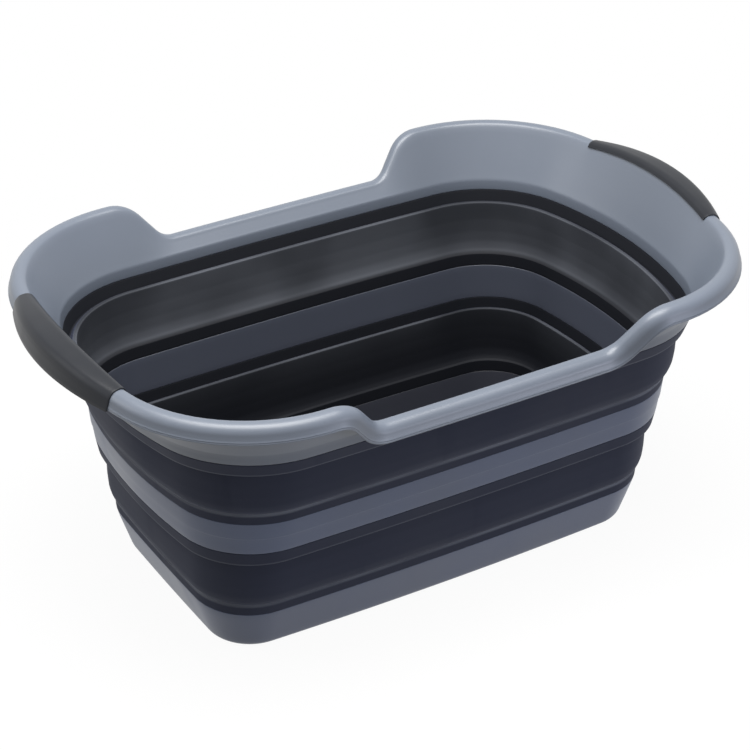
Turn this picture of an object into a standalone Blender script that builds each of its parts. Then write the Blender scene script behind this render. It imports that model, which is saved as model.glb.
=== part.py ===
"""Collapsible tub: three rigid stages joined by two soft folding bands, with two soft grips.

The tub stands on z = 0, centred on the origin. Its long sides face -Y and +Y, its ends -X and +X.
Every wall runs round the tub, so a wall is a cross-section drawn at the middle of a long side, as
(half width, height) pairs, and lofted round one family of rounded outlines. All sizes are in metres.
"""
import math

import bmesh
import bpy
from mathutils import Vector

# Overall size
FOOT_HALF_WIDTH = 0.104
END_REACH = 0.093
CORNER_RADIUS_FOOT = 0.033
SIDE_BOW = 0.005
FOOT_END_BOW = 0.0015
COLLAR_END_BOW = 0.041
STRAIGHT_END_HEIGHT = 0.036

# Heights, stacked from the table up
BASE_HEIGHT = 0.041
STRIP_HEIGHT = 0.011
LOWER_PANEL_HEIGHT = 0.049
RING_HEIGHT = 0.031
UPPER_PANEL_HEIGHT = 0.046
COLLAR_BAND_HEIGHT = 0.0095
COLLAR_FLARE_HEIGHT = 0.037
LOW_SIDE_DROP = 0.0342

# How far each level of the outer wall stands outside the one below it, across a long side
FOOT_ROUND_OUT = 0.0075
BASE_WALL_OUT = 0.0108
BASE_STRIP_OUT = 0.0013
LOWER_PANEL_OUT = 0.0074
RING_SKIRT_OUT = 0.006
RING_LOW_STRIP_OUT = 0.003
RING_LOWER_HALF_OUT = 0.0028
RING_UPPER_HALF_OUT = 0.0023
RING_TOP_STRIP_OUT = 0.002
UPPER_PANEL_OUT = 0.008
COLLAR_SKIRT_OUT = 0.0065
COLLAR_STRIP_OUT = 0.0049
COLLAR_BAND_OUT = 0.0015
COLLAR_FLARE_OUT = 0.024
LIP_STEP_IN = 0.0142

# Walls
RIGID_WALL = 0.003
PANEL_WALL = 0.002
TONGUE_WALL = 0.001
TONGUE_HEIGHT = 0.0085
HINGE_WALL = 0.002
SEAM_STEP = 0.0004
SEAM_HEIGHT = 0.0006
GAP = 0.0003

# Base tray
FOOT_ROUND_HEIGHT = 0.006
FOOT_RIM_WIDTH = 0.0125
FLOOR_RECESS = 0.0012
FLOOR_WALL = 0.003
FLOOR_ROUND = 0.006

# Lip: its section is drawn round its own centre, outwards and upwards
LIP_WALL = 0.0022
LIP_INNER = 0.006
LIP_OUTER = 0.0094
LIP_CROWN = 0.0088
FLANGE_DROP = 0.005
FLANGE_KICK = 0.001

# The lip's step from the high ends to the low sides
STEP_SLOPE = math.radians(50.5)
STEP_TOP_RADIUS = 0.0255
STEP_FOOT_RADIUS = 0.018
STEP_TO_CORNER = 0.0054

# Handles: the lip rises, widens and hangs lower towards the middle of each end, under a soft grip
HANDLE_RISE = 0.007
HANDLE_SWELL = 0.0078
HANDLE_DROP = 0.0055
GRIP_HALF_SPAN = 0.085
GRIP_WALL = 0.001
GRIP_HOOK = 0.005

# How many flats each stretch of a quarter outline has
GRIP_FLATS = 4
CORNER_FLATS = 5
STEP_FLATS = 6
MIDDLE_FLATS = 2

# Looks
COLLAR_COLOUR = (0.21, 0.24, 0.29)
SLATE_COLOUR = (0.10, 0.12, 0.16)
FOLD_COLOUR = (0.022, 0.024, 0.032)
GRIP_COLOUR = (0.05, 0.052, 0.057)
COLLAR_ROUGHNESS = 0.35
SLATE_ROUGHNESS = 0.42
FOLD_ROUGHNESS = 0.5
GRIP_ROUGHNESS = 0.6
SHARP_ANGLE = math.radians(30)
EIGHTH_TURN = math.pi / 4

# A fold panel's outer face, from its lower hinge to its upper one: shares of its height and width
PANEL_SHAPE_SHARES = ((0.08, 0.38), (0.22, 0.67), (0.44, 0.84), (0.72, 0.96))

# The lip's rounded top, from its outer side to its inner edge: shares of its outer reach, or of its
# inner reach where negative, and of its crown's height
LIP_TOP_SHARES = ((0.89, 0.45), (0.57, 0.89), (0.11, 1), (-0.38, 0.965), (-0.72, 0.85), (-1, 0.6))

# Levels worked out from the sizes above
BASE_TOP = BASE_HEIGHT
LOWER_HINGE = BASE_TOP + STRIP_HEIGHT
RING_HINGE = LOWER_HINGE + LOWER_PANEL_HEIGHT
RING_LOW = RING_HINGE + STRIP_HEIGHT
RING_TOP = RING_LOW + RING_HEIGHT
UPPER_HINGE = RING_TOP + STRIP_HEIGHT
COLLAR_HINGE = UPPER_HINGE + UPPER_PANEL_HEIGHT
COLLAR_LOW = COLLAR_HINGE + STRIP_HEIGHT
COLLAR_BREAK = COLLAR_LOW + COLLAR_BAND_HEIGHT
LIP_HIGH = COLLAR_BREAK + COLLAR_FLARE_HEIGHT

WALL_FOOT = FOOT_HALF_WIDTH + FOOT_ROUND_OUT
BASE_TOP_HALF = WALL_FOOT + BASE_WALL_OUT
LOWER_HINGE_HALF = BASE_TOP_HALF + BASE_STRIP_OUT
LOWER_PANEL_HALF = LOWER_HINGE_HALF + LOWER_PANEL_OUT
RING_SKIRT_HALF = LOWER_PANEL_HALF + RING_SKIRT_OUT
RING_LOW_HALF = RING_SKIRT_HALF + RING_LOW_STRIP_OUT
RING_SEAM_HALF = RING_LOW_HALF + RING_LOWER_HALF_OUT
RING_TOP_HALF = RING_SEAM_HALF + SEAM_STEP + RING_UPPER_HALF_OUT
UPPER_HINGE_HALF = RING_TOP_HALF + RING_TOP_STRIP_OUT
UPPER_PANEL_HALF = UPPER_HINGE_HALF + UPPER_PANEL_OUT
COLLAR_SKIRT_HALF = UPPER_PANEL_HALF + COLLAR_SKIRT_OUT
COLLAR_LOW_HALF = COLLAR_SKIRT_HALF + COLLAR_STRIP_OUT
COLLAR_BREAK_HALF = COLLAR_LOW_HALF + COLLAR_BAND_OUT
LIP_HALF = COLLAR_BREAK_HALF + COLLAR_FLARE_OUT

TONGUE_INSET = (RIGID_WALL - TONGUE_WALL) / 2
STRIP_SKIN = TONGUE_INSET - GAP
RING_SEAM = RING_LOW + RING_HEIGHT / 2


def circle_meet(first, first_radius, second, second_radius):
    """The meeting point of two circles that lies furthest towards +X and +Y."""
    across = second - first
    reach = (across.length_squared + first_radius ** 2 - second_radius ** 2) / (2 * across.length)
    rise = math.sqrt(first_radius ** 2 - reach ** 2)
    along = across.normalized()
    square = Vector((-along.y, along.x))
    meets = [first + along * reach + square * side * rise for side in (-1, 1)]
    return max(meets, key=lambda point: point.x + point.y)


def end_bow(height):
    """How far an end bulges: almost nothing at the foot, most from the collar up."""
    share = (height - STRAIGHT_END_HEIGHT) / (COLLAR_LOW - STRAIGHT_END_HEIGHT)
    share = min(max(share, 0), 1)
    return FOOT_END_BOW + (COLLAR_END_BOW - FOOT_END_BOW) * share


def quarter_arcs(half_width, height):
    """Centre, radius, first and last angle of the end, corner and side arcs of a quarter outline."""
    half_length = half_width + END_REACH
    corner_radius = CORNER_RADIUS_FOOT + half_width - FOOT_HALF_WIDTH
    bow = end_bow(height)
    side_radius = (half_length ** 2 + SIDE_BOW ** 2) / (2 * SIDE_BOW)
    end_radius = (half_width ** 2 + bow ** 2) / (2 * bow)
    side_centre = Vector((0, half_width - side_radius))
    end_centre = Vector((half_length - end_radius, 0))
    corner = circle_meet(side_centre, side_radius - corner_radius, end_centre, end_radius - corner_radius)
    to_corner = corner - end_centre
    end_turn = math.atan2(to_corner.y, to_corner.x)
    to_corner = corner - side_centre
    side_turn = math.atan2(to_corner.y, to_corner.x)
    return ((end_centre, end_radius, 0, end_turn),
            (corner, corner_radius, end_turn, side_turn),
            (side_centre, side_radius, side_turn, math.pi / 2))


def step_runs():
    """How far the step's upper bend, straight slope and lower bend each reach along a long side."""
    bends_drop = (STEP_TOP_RADIUS + STEP_FOOT_RADIUS) * (1 - math.cos(STEP_SLOPE))
    return (STEP_TOP_RADIUS * math.sin(STEP_SLOPE),
            (LOW_SIDE_DROP - bends_drop) / math.tan(STEP_SLOPE),
            STEP_FOOT_RADIUS * math.sin(STEP_SLOPE))


def lip_fall(x):
    """How far the lip stands below its high level, at a distance x from the middle of a side."""
    top_run, slope_run, foot_run = step_runs()
    done = STEP_START - abs(x)
    left = top_run + slope_run + foot_run - done
    if done <= 0:
        return 0
    if left <= 0:
        return LOW_SIDE_DROP
    if done < top_run:
        return STEP_TOP_RADIUS - math.sqrt(STEP_TOP_RADIUS ** 2 - done ** 2)
    if left < foot_run:
        return LOW_SIDE_DROP - STEP_FOOT_RADIUS + math.sqrt(STEP_FOOT_RADIUS ** 2 - left ** 2)
    return STEP_TOP_RADIUS * (1 - math.cos(STEP_SLOPE)) + (done - top_run) * math.tan(STEP_SLOPE)


def handle_share(at):
    """1 at the middle of a handle, 0 at its ends and everywhere else on the lip."""
    if abs(at.x) < STEP_START or abs(at.y) > GRIP_HALF_SPAN:
        return 0
    return 1 - (at.y / GRIP_HALF_SPAN) ** 2


def quarter_shares():
    """Where the stations stand on the end, corner and side arcs, as shares of each arc."""
    end, corner, side = quarter_arcs(LIP_HALF, LIP_HIGH)
    grip_turn = math.asin(GRIP_HALF_SPAN / end[1]) / end[3]
    ends = [grip_turn * flat / GRIP_FLATS for flat in range(GRIP_FLATS + 1)]
    corners = [flat / CORNER_FLATS for flat in range(CORNER_FLATS)]
    side_reach = side[1] * math.cos(side[2])
    step_run = sum(step_runs())
    steps = [STEP_START - step_run * flat / STEP_FLATS for flat in range(STEP_FLATS + 1)]
    middles = [steps[-1] * (1 - flat / MIDDLE_FLATS) for flat in range(1, MIDDLE_FLATS + 1)]
    sides = [1] + [x / side_reach for x in steps + middles]
    return ends, corners, sides


def outline(half_width, height):
    """Stations round the tub, counter-clockwise, each a point and its outward direction."""
    arcs = quarter_arcs(half_width, height)
    ends, corners, sides = STATION_SHARES
    quarter = []
    for (centre, radius, first, last), shares in zip(arcs[:2], (ends, corners)):
        for share in shares:
            turn = first + (last - first) * share
            quarter.append((centre, radius, turn))
    centre, radius, first, last = arcs[2]
    for share in sides:
        quarter.append((centre, radius, math.acos(share * math.cos(first))))
    points = []
    for centre, radius, turn in quarter:
        outward = Vector((math.cos(turn), math.sin(turn)))
        points.append((centre + outward * radius, outward))
    half = points + [mirrored(point, -1, 1) for point in reversed(points[:-1])]
    whole = half + [mirrored(point, 1, -1) for point in reversed(half[1:-1])]
    return [(Vector((at.x, at.y, height)), Vector((out.x, out.y, 0))) for at, out in whole]


def mirrored(point, along_x, along_y):
    """A station reflected in one of the tub's two planes of symmetry."""
    at, out = point
    return Vector((at.x * along_x, at.y * along_y)), Vector((out.x * along_x, out.y * along_y))


def wall_ring(half_width, height):
    """One turn round the tub at a level height."""
    return [at for at, out in outline(half_width, height)]


def lip_frames():
    """Centre, outward and upward direction and handle share of the lip at each station."""
    stations = []
    for at, out in outline(LIP_HALF, LIP_HIGH):
        fall = lip_fall(at.x)
        handle = handle_share(at)
        rise = Vector((0, 0, HANDLE_RISE * handle - fall))
        stations.append((at - out * LIP_STEP_IN * fall / LOW_SIDE_DROP + rise, out, handle))
    frames = []
    count = len(stations)
    for place, (centre, out, handle) in enumerate(stations):
        along = (stations[(place + 1) % count][0] - stations[place - 1][0]).normalized()
        frames.append((centre, out, out.cross(along).normalized(), handle))
    return frames


def lip_point(frame, out, up, swell):
    """A place in the lip's own section; in a handle its outer side stands out and its foot hangs down."""
    centre, outward, upward, handle = frame
    out += HANDLE_SWELL * handle * swell
    if up < 0:
        up -= HANDLE_DROP * handle
    return centre + outward * out + upward * up


def lip_ring(frames, place):
    """One line along the lip, at a place in the lip's own section."""
    return [lip_point(frame, *place) for frame in frames]


def lip_line(outset):
    """The lip's section from its flange's foot over its top to its inner edge, moved out by outset.

    Each place is outward, upward, and 1 where it belongs to the outer side that swells in a handle.
    """
    line = [(LIP_OUTER + FLANGE_KICK, -FLANGE_DROP), (LIP_OUTER, 0)]
    for out_share, up_share in LIP_TOP_SHARES:
        reach = LIP_OUTER if out_share > 0 else LIP_INNER
        line.append((reach * out_share, LIP_CROWN * up_share))
    moved = []
    for place, (out, up) in enumerate(line):
        before = line[max(place - 1, 0)]
        after = line[min(place + 1, len(line) - 1)]
        square = Vector((after[1] - before[1], before[0] - after[0])).normalized() * outset
        moved.append((out + square.x, up + square.y, 1 if out > LIP_OUTER / 2 else 0))
    return moved


def loft(name, rings, loop, material):
    """A solid through rings of equally many points: a loop of rings, or a stack with flat ends."""
    mesh = bmesh.new()
    rows = [[mesh.verts.new(point) for point in ring] for ring in rings]
    pairs = list(zip(rows, rows[1:]))
    if loop:
        pairs.append((rows[-1], rows[0]))
    for low, high in pairs:
        for corner in range(len(low)):
            after = (corner + 1) % len(low)
            mesh.faces.new((low[corner], low[after], high[after], high[corner]))
    if not loop:
        mesh.faces.new(rows[0])
        mesh.faces.new(rows[-1])
    bmesh.ops.recalc_face_normals(mesh, faces=mesh.faces)
    return add_object(name, mesh, material)


def add_object(name, mesh, material):
    """Turns a bmesh into a named object in the tub's collection."""
    data = bpy.data.meshes.new(name)
    mesh.to_mesh(data)
    mesh.free()
    data.materials.append(material)
    data.shade_smooth()
    data.set_sharp_from_angle(angle=SHARP_ANGLE)
    piece = bpy.data.objects.new(name, data)
    tub.objects.link(piece)
    return piece


def plastic(name, colour, roughness):
    """A plain moulded material."""
    material = bpy.data.materials.new(name)
    material.use_nodes = True
    shader = material.node_tree.nodes["Principled BSDF"]
    shader.inputs["Base Color"].default_value = (*colour, 1)
    shader.inputs["Roughness"].default_value = roughness
    shader.inputs["Metallic"].default_value = 0
    return material


def on_wall(wall, height, inset):
    """A cross-section point inset from an outer wall, given as rising (half width, height) pairs."""
    for (low_half, low), (high_half, high) in zip(wall, wall[1:]):
        if height <= high:
            break
    share = (height - low) / (high - low)
    return low_half + (high_half - low_half) * share - inset, height


def tongue(wall, root, tip):
    """The thin tongue that a soft band is moulded over, from its outer root round to its inner one."""
    outer = TONGUE_INSET
    inner = TONGUE_INSET + TONGUE_WALL
    return [on_wall(wall, root, outer), on_wall(wall, tip, outer),
            on_wall(wall, tip, inner), on_wall(wall, root, inner)]


def groove(wall, mouth, end):
    """The slot in a soft band that holds a tongue, from its outer mouth round to its inner one."""
    outer = STRIP_SKIN
    inner = RIGID_WALL - STRIP_SKIN
    return [on_wall(wall, mouth, outer), on_wall(wall, end, outer),
            on_wall(wall, end, inner), on_wall(wall, mouth, inner)]


# The three rigid stages' outer walls, strips included
BASE_WALL = ((FOOT_HALF_WIDTH, 0), (WALL_FOOT, FOOT_ROUND_HEIGHT), (BASE_TOP_HALF, BASE_TOP),
             (LOWER_HINGE_HALF, LOWER_HINGE))
RING_WALL = ((RING_SKIRT_HALF, RING_HINGE - HINGE_WALL), (RING_LOW_HALF, RING_LOW),
             (RING_SEAM_HALF, RING_SEAM), (RING_SEAM_HALF + SEAM_STEP, RING_SEAM + SEAM_HEIGHT),
             (RING_TOP_HALF, RING_TOP), (UPPER_HINGE_HALF, UPPER_HINGE))
COLLAR_WALL = ((COLLAR_SKIRT_HALF, COLLAR_HINGE - HINGE_WALL), (COLLAR_LOW_HALF, COLLAR_LOW),
               (COLLAR_BREAK_HALF, COLLAR_BREAK))


def make_base_tray(material):
    """Tray with a flat floor, a standing rim under it and a tongue round its top edge."""
    foot_inner = FOOT_HALF_WIDTH - FOOT_RIM_WIDTH
    floor_top = FLOOR_RECESS + FLOOR_WALL
    round_top = floor_top + FLOOR_ROUND
    floor_edge = on_wall(BASE_WALL, round_top, RIGID_WALL + FLOOR_ROUND)[0]
    knee_inset = RIGID_WALL + FLOOR_ROUND * (1 - math.sin(EIGHTH_TURN))
    floor_knee = on_wall(BASE_WALL, round_top, knee_inset)[0]
    knee_height = floor_top + FLOOR_ROUND * (1 - math.cos(EIGHTH_TURN))
    wall_knee = FOOT_HALF_WIDTH + FOOT_ROUND_OUT * math.sin(EIGHTH_TURN)
    profile = [
        (foot_inner - FLOOR_RECESS, FLOOR_RECESS),
        (foot_inner, 0),
        (FOOT_HALF_WIDTH, 0),
        (wall_knee, FOOT_ROUND_HEIGHT * (1 - math.cos(EIGHTH_TURN))),
        (WALL_FOOT, FOOT_ROUND_HEIGHT),
        on_wall(BASE_WALL, BASE_TOP, 0),
        *tongue(BASE_WALL, BASE_TOP, BASE_TOP + TONGUE_HEIGHT),
        on_wall(BASE_WALL, BASE_TOP, RIGID_WALL),
        on_wall(BASE_WALL, round_top, RIGID_WALL),
        (floor_knee, knee_height),
        (floor_edge, floor_top),
    ]
    return loft("base_tray", [wall_ring(*point) for point in profile], False, material)


def make_middle_ring(material):
    """Rigid ring between the two bands, with a tongue up and a tongue down."""
    profile = [
        on_wall(RING_WALL, RING_LOW, 0),
        on_wall(RING_WALL, RING_SEAM, 0),
        on_wall(RING_WALL, RING_SEAM + SEAM_HEIGHT, 0),
        on_wall(RING_WALL, RING_TOP, 0),
        *tongue(RING_WALL, RING_TOP, RING_TOP + TONGUE_HEIGHT),
        on_wall(RING_WALL, RING_TOP, RIGID_WALL),
        on_wall(RING_WALL, RING_SEAM, RIGID_WALL),
        on_wall(RING_WALL, RING_LOW, RIGID_WALL),
        *reversed(tongue(RING_WALL, RING_LOW, RING_LOW - TONGUE_HEIGHT)),
    ]
    return loft("middle_ring", [wall_ring(*point) for point in profile], True, material)


def make_fold(name, lower_wall, lower_edge, hinge, upper_wall, upper_edge, panel_half, material):
    """Soft band: a strip over the tongue below, a bulging panel, a hinge ledge, a strip above."""
    low_half, low = on_wall(lower_wall, hinge, 0)
    high = upper_wall[0][1]
    skirt_half = upper_wall[0][0]
    bottom = lower_edge + GAP
    top = upper_edge - GAP
    slot = TONGUE_HEIGHT + GAP
    panel = [(low_half + (panel_half - low_half) * wide, low + (high - low) * tall)
             for tall, wide in PANEL_SHAPE_SHARES]
    inside = [(half - PANEL_WALL, height) for half, height in reversed(panel)]
    profile = [
        on_wall(lower_wall, bottom, 0),
        (low_half, low),
        *panel,
        (panel_half, high - GAP),
        (skirt_half, high),
        on_wall(upper_wall, top, 0),
        *groove(upper_wall, top, upper_edge - slot),
        on_wall(upper_wall, top, RIGID_WALL),
        on_wall(upper_wall, high + HINGE_WALL + GAP, RIGID_WALL),
        (panel_half - PANEL_WALL, high + HINGE_WALL),
        *inside,
        on_wall(lower_wall, hinge, RIGID_WALL),
        on_wall(lower_wall, bottom, RIGID_WALL),
        *reversed(groove(lower_wall, bottom, lower_edge + slot)),
    ]
    return loft(name, [wall_ring(*point) for point in profile], True, material)


def make_rim_collar(frames, material):
    """Flared collar with a rolled lip and hanging flange, high at the ends and low along the sides."""
    outer_wall = [on_wall(COLLAR_WALL, height, 0) for height in (COLLAR_LOW, COLLAR_BREAK)]
    inner_wall = [on_wall(COLLAR_WALL, height, RIGID_WALL) for height in (COLLAR_BREAK, COLLAR_LOW)]
    down = reversed(tongue(COLLAR_WALL, COLLAR_LOW, COLLAR_LOW - TONGUE_HEIGHT))
    rings = [wall_ring(*point) for point in outer_wall]
    rings += [lip_ring(frames, place) for place in [*reversed(lip_line(-LIP_WALL)), *lip_line(0)]]
    rings += [wall_ring(*point) for point in [*inner_wall, *down]]
    return loft("rim_collar", rings, True, material)


def make_grip(name, frames, side, material):
    """Soft sleeve over the lip at one end, wrapped round the flange's foot and hooked up inside it."""
    held = [frame for frame in frames
            if frame[0].x * side > 0 and abs(frame[0].y) <= GRIP_HALF_SPAN + GAP]
    held.sort(key=lambda frame: frame[0].y * side)
    inside = lip_line(-LIP_WALL - GAP)
    outside = lip_line(GAP)
    skin = lip_line(GAP + GRIP_WALL)
    foot = inside[0][1] - GAP
    hook_top = foot + GRIP_HOOK
    section = [(inside[1][0], hook_top, 1), (inside[0][0], foot, 1), (outside[0][0], foot, 1), *outside[1:],
               *reversed(skin[1:]), (skin[0][0], foot - GRIP_WALL, 1),
               (inside[0][0] - GRIP_WALL, foot - GRIP_WALL, 1), (inside[1][0] - GRIP_WALL, hook_top, 1)]
    sections = [[lip_point(frame, *place) for place in section] for frame in held]
    return loft(name, sections, False, material)


lip_side_arc = quarter_arcs(LIP_HALF, LIP_HIGH)[2]
STEP_START = lip_side_arc[1] * math.cos(lip_side_arc[2]) - STEP_TO_CORNER
STATION_SHARES = quarter_shares()

for old in list(bpy.data.objects):
    bpy.data.objects.remove(old)
tub = bpy.data.collections.new("collapsible_tub")
bpy.context.scene.collection.children.link(tub)

collar_grey = plastic("collar_grey", COLLAR_COLOUR, COLLAR_ROUGHNESS)
slate_grey = plastic("slate_grey", SLATE_COLOUR, SLATE_ROUGHNESS)
fold_black = plastic("fold_black", FOLD_COLOUR, FOLD_ROUGHNESS)
grip_charcoal = plastic("grip_charcoal", GRIP_COLOUR, GRIP_ROUGHNESS)

lip = lip_frames()
make_base_tray(slate_grey)
make_fold("lower_fold", BASE_WALL, BASE_TOP, LOWER_HINGE, RING_WALL, RING_LOW, LOWER_PANEL_HALF, fold_black)
make_middle_ring(slate_grey)
make_fold("upper_fold", RING_WALL, RING_TOP, UPPER_HINGE, COLLAR_WALL, COLLAR_LOW, UPPER_PANEL_HALF,
          fold_black)
make_rim_collar(lip, collar_grey)
make_grip("grip_left", lip, -1, grip_charcoal)
make_grip("grip_right", lip, 1, grip_charcoal)
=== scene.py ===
"""Collapsible tub: detailed surfaces and finishes, built round the tub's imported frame.

The file is laid out as an add-on and is run as a script. All sizes are in metres. The tub stands on
z = 0, centred on the origin, with its long sides facing -Y and +Y and its ends facing -X and +X.
"""
import math

import bmesh
import bpy
import numpy as np
from bpy.props import FloatProperty, FloatVectorProperty, IntProperty, PointerProperty
from mathutils import Matrix, Vector


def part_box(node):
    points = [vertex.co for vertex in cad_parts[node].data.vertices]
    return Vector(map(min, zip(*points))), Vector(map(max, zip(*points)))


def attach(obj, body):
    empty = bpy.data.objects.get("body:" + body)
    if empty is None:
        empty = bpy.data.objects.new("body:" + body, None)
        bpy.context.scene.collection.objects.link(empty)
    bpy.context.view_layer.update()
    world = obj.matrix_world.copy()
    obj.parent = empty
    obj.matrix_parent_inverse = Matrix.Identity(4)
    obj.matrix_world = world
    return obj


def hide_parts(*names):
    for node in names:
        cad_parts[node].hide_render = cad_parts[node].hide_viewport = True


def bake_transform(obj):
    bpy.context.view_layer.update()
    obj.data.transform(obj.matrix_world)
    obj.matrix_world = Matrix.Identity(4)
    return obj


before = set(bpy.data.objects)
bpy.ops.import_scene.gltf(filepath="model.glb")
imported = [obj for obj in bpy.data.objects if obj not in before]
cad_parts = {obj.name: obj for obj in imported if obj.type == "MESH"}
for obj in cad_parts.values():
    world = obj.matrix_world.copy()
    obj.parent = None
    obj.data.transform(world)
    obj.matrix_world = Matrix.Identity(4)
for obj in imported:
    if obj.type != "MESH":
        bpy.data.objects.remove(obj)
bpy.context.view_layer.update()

bl_info = {
    "name": "Collapsible Tub",
    "version": (1, 0, 0),
    "blender": (4, 5, 0),
    "location": "3D View > Sidebar > Tub",
    "description": "Builds the detailed surfaces and finishes of a collapsible tub",
    "category": "Add Mesh",
}

GAP = 0.0003

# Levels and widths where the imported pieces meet
BASE_BOX, LOWER_BOX, UPPER_BOX = (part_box(name) for name in ("base_tray", "lower_fold", "upper_fold"))
BASE_TOP = LOWER_BOX[0].z - GAP
RING_LOW = LOWER_BOX[1].z + GAP
RING_TOP = UPPER_BOX[0].z - GAP
COLLAR_LOW = UPPER_BOX[1].z + GAP
BASE_TOP_HALF = BASE_BOX[1].y
END_REACH = BASE_BOX[1].x - BASE_BOX[1].y

# How finely the surfaces are cut and worked out: flats round a quarter of the tub, rows and bends
END_FLATS = 26
CORNER_FLATS = 18
SIDE_FLATS = 64
CORNER_ROUNDS = 5
BAND_ROW = 0.0016
WALL_ROW = 0.006
BEND_FLAT = math.radians(14)
BEND_SHARE = 0.48
BEND_ROWS = 3
BEND_ROUNDS = 2
LIP_CUTS = 3
FOOT_FLATS = 6
GRIP_ROWS = 56
GRIP_END_ROWS = 5

# Edges sharper than this angle show, and what turns this far to the tub's middle is wholly inside
SHARP_ANGLE = math.radians(40)
INWARD_TILT = 0.3

# A cap over this area is a floor, and gets a border this wide
FLOOR_AREA = 0.01
FLOOR_BORDER = 0.004

# The lip's face over the flange's foot: the flange as shares of its kick and drop, the crown as shares
# of the outer or inner reach and of the crown's height
LIP_FLANGE_SHARES = ((0.93, -0.86), (0.65, -0.68), (0.1, -0.3))
LIP_TOP_SHARES = ((0.947, 0.09), (0.9, 0.31), (0.83, 0.49), (0.72, 0.66), (0.57, 0.81), (0.38, 0.93),
                  (0.15, 0.99), (-0.1, 1), (-0.4, 0.965), (-0.72, 0.85), (-1, 0.6))
SWELL_SHARES = (0.11, 0.57)

# The flange's foot: its roundness, and its fine line as shares of the line's height and depth
FOOT_ROUND_SHARE = 0.45
FOOT_LINE_SHARES = ((0.0, 0), (0.7, 0), (0.9, 0.8), (1.1, 1), (1.3, 0.8), (1.5, 0))
FOOT_LINE_CLEAR_SHARE = 1.1

# Rows up the collar's flare, as shares of the way
FLARE_ROW_SHARES = (0.02, 0.05, 0.12, 0.24, 0.4, 0.56, 0.74, 0.9)

# A grip's wall at its very ends as a share of its wall, the stretch of lip that it is fitted to as a
# share of its length, and the point of the lip's face that its hook ends behind
GRIP_END_SHARE = 0.3
GRIP_PAST_SHARE = 1.2
HOOK_POINT = 4

# A band's panel from its lower hinge up, as shares of its height and of its step out, the edges of its
# bead as shares of the ledge, and the bead's and the hinge's shape as shares of their sizes
PANEL_SHAPE_SHARES = ((0.08, 0.38), (0.22, 0.67), (0.44, 0.84), (0.72, 0.96))
PANEL_ROUND = 0.02
BEAD_EDGE_SHARES = (0.72, 0.5, 0.02)
BEAD_ROUND_SHARE = 1.3
HINGE_INSIDE_SHARE = 0.55

# Painted highlights along a band, pale lines where its hinge, its inner bead and its skirt's edge catch the
# light: the height over the panel's foot or top, and how far off it is full and gone
CREASE_HIGHLIGHT = (-0.0012, 0.0007, 0.0019)
BEAD_HIGHLIGHT = (0.0049, 0.0004, 0.0012)
SKIRT_HIGHLIGHT = (0.0004, 0.0003, 0.0012)

# A panel's waves fade at its edges; its painted sheen, a lighter colour standing in for the sheen high on
# the panels' inside where the light falls, starts over its foot, ends over its top and grows upwards.
# A wall's waves are their size, the levels of the panel's foot and top, and its greatest half width.
NO_WAVES = (0.0, 0.0, 1.0, 1.0)
WAVE_FADE = 0.01
SHEEN_START = 0.003
SHEEN_END = (0.0046, 0.0054)
SHEEN_LEVELS = (0.06, 0.17)

# How strongly the painted sheen and the painted highlight lines show: the share that follows the uneven
# patches, and the steady share
SHEEN_SHARES = (0.55, 0.45)
CREASE_HIGHLIGHT_SHARES = (0.5, 0.3)
BEAD_HIGHLIGHT_SHARES = (0.14, 0.02)
SKIRT_HIGHLIGHT_SHARE = 0.3

# The moulded skin: tones of its patches, how rough scuffs and dust are, and where each noise starts
DUST = (0.42, 0.42, 0.41)
TONE_SHARES = (0.95, 1.05)
SCUFF_SHARE = 0.6
DUST_SHARE = 0.3
PATCH_RANGE = (0.3, 0.7)
SCUFF_RANGE = (0.56, 0.74)
SCUFF_FINENESS = 6
SCUFF_STRETCH = (1.0, 1.0, 0.12)
UPWARD_RANGE = (0.1, 0.95)
SPECK_RANGE = (0.42, 0.72)

# The stage: the camera's sensor in millimetres, the lamps, each with its name, the setting of its power,
# its tint, width and height, and place, the point they are aimed at, and the floor
SENSOR = 36
LAMPS = (("lamp_overhead", "key", (1, 0.99, 0.97), (1.8, 1.2), (-0.15, -0.18, 1.95)),
         ("lamp_low", "low", (0.80, 0.83, 1), (1.0, 0.25), (1.15, -1.95, 0.14)),
         ("lamp_left", "side", (1, 1, 1), (0.9, 0.9), (-1.7, 0.9, 1.0)))
LAMP_AIM = (0, 0, 0.15)
FLOOR_HALF = 6
FLOOR_ROUGH = 0.9
FLOOR_FADE = (0.25, 0.6)


def length(default, description):
    """A length that a user can change."""
    return FloatProperty(default=default, description=description, unit="LENGTH", subtype="DISTANCE",
                         min=0, precision=5)


def angle(degrees, description):
    """An angle, given in degrees."""
    return FloatProperty(default=math.radians(degrees), description=description, subtype="ANGLE")


def share(default, description, high=1):
    """A plain number from nothing upwards."""
    return FloatProperty(default=default, description=description, min=0, max=high, precision=4)


def colour(default, description):
    """A linear colour."""
    return FloatVectorProperty(default=default, description=description, subtype="COLOR", min=0, max=1,
                               size=3)


def named(group):
    """Gives each setting of a group a name to show: foot_round becomes Foot round."""
    for name, setting in group.__annotations__.items():
        setting.keywords["name"] = name.replace("_", " ").capitalize()
    return group


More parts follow.
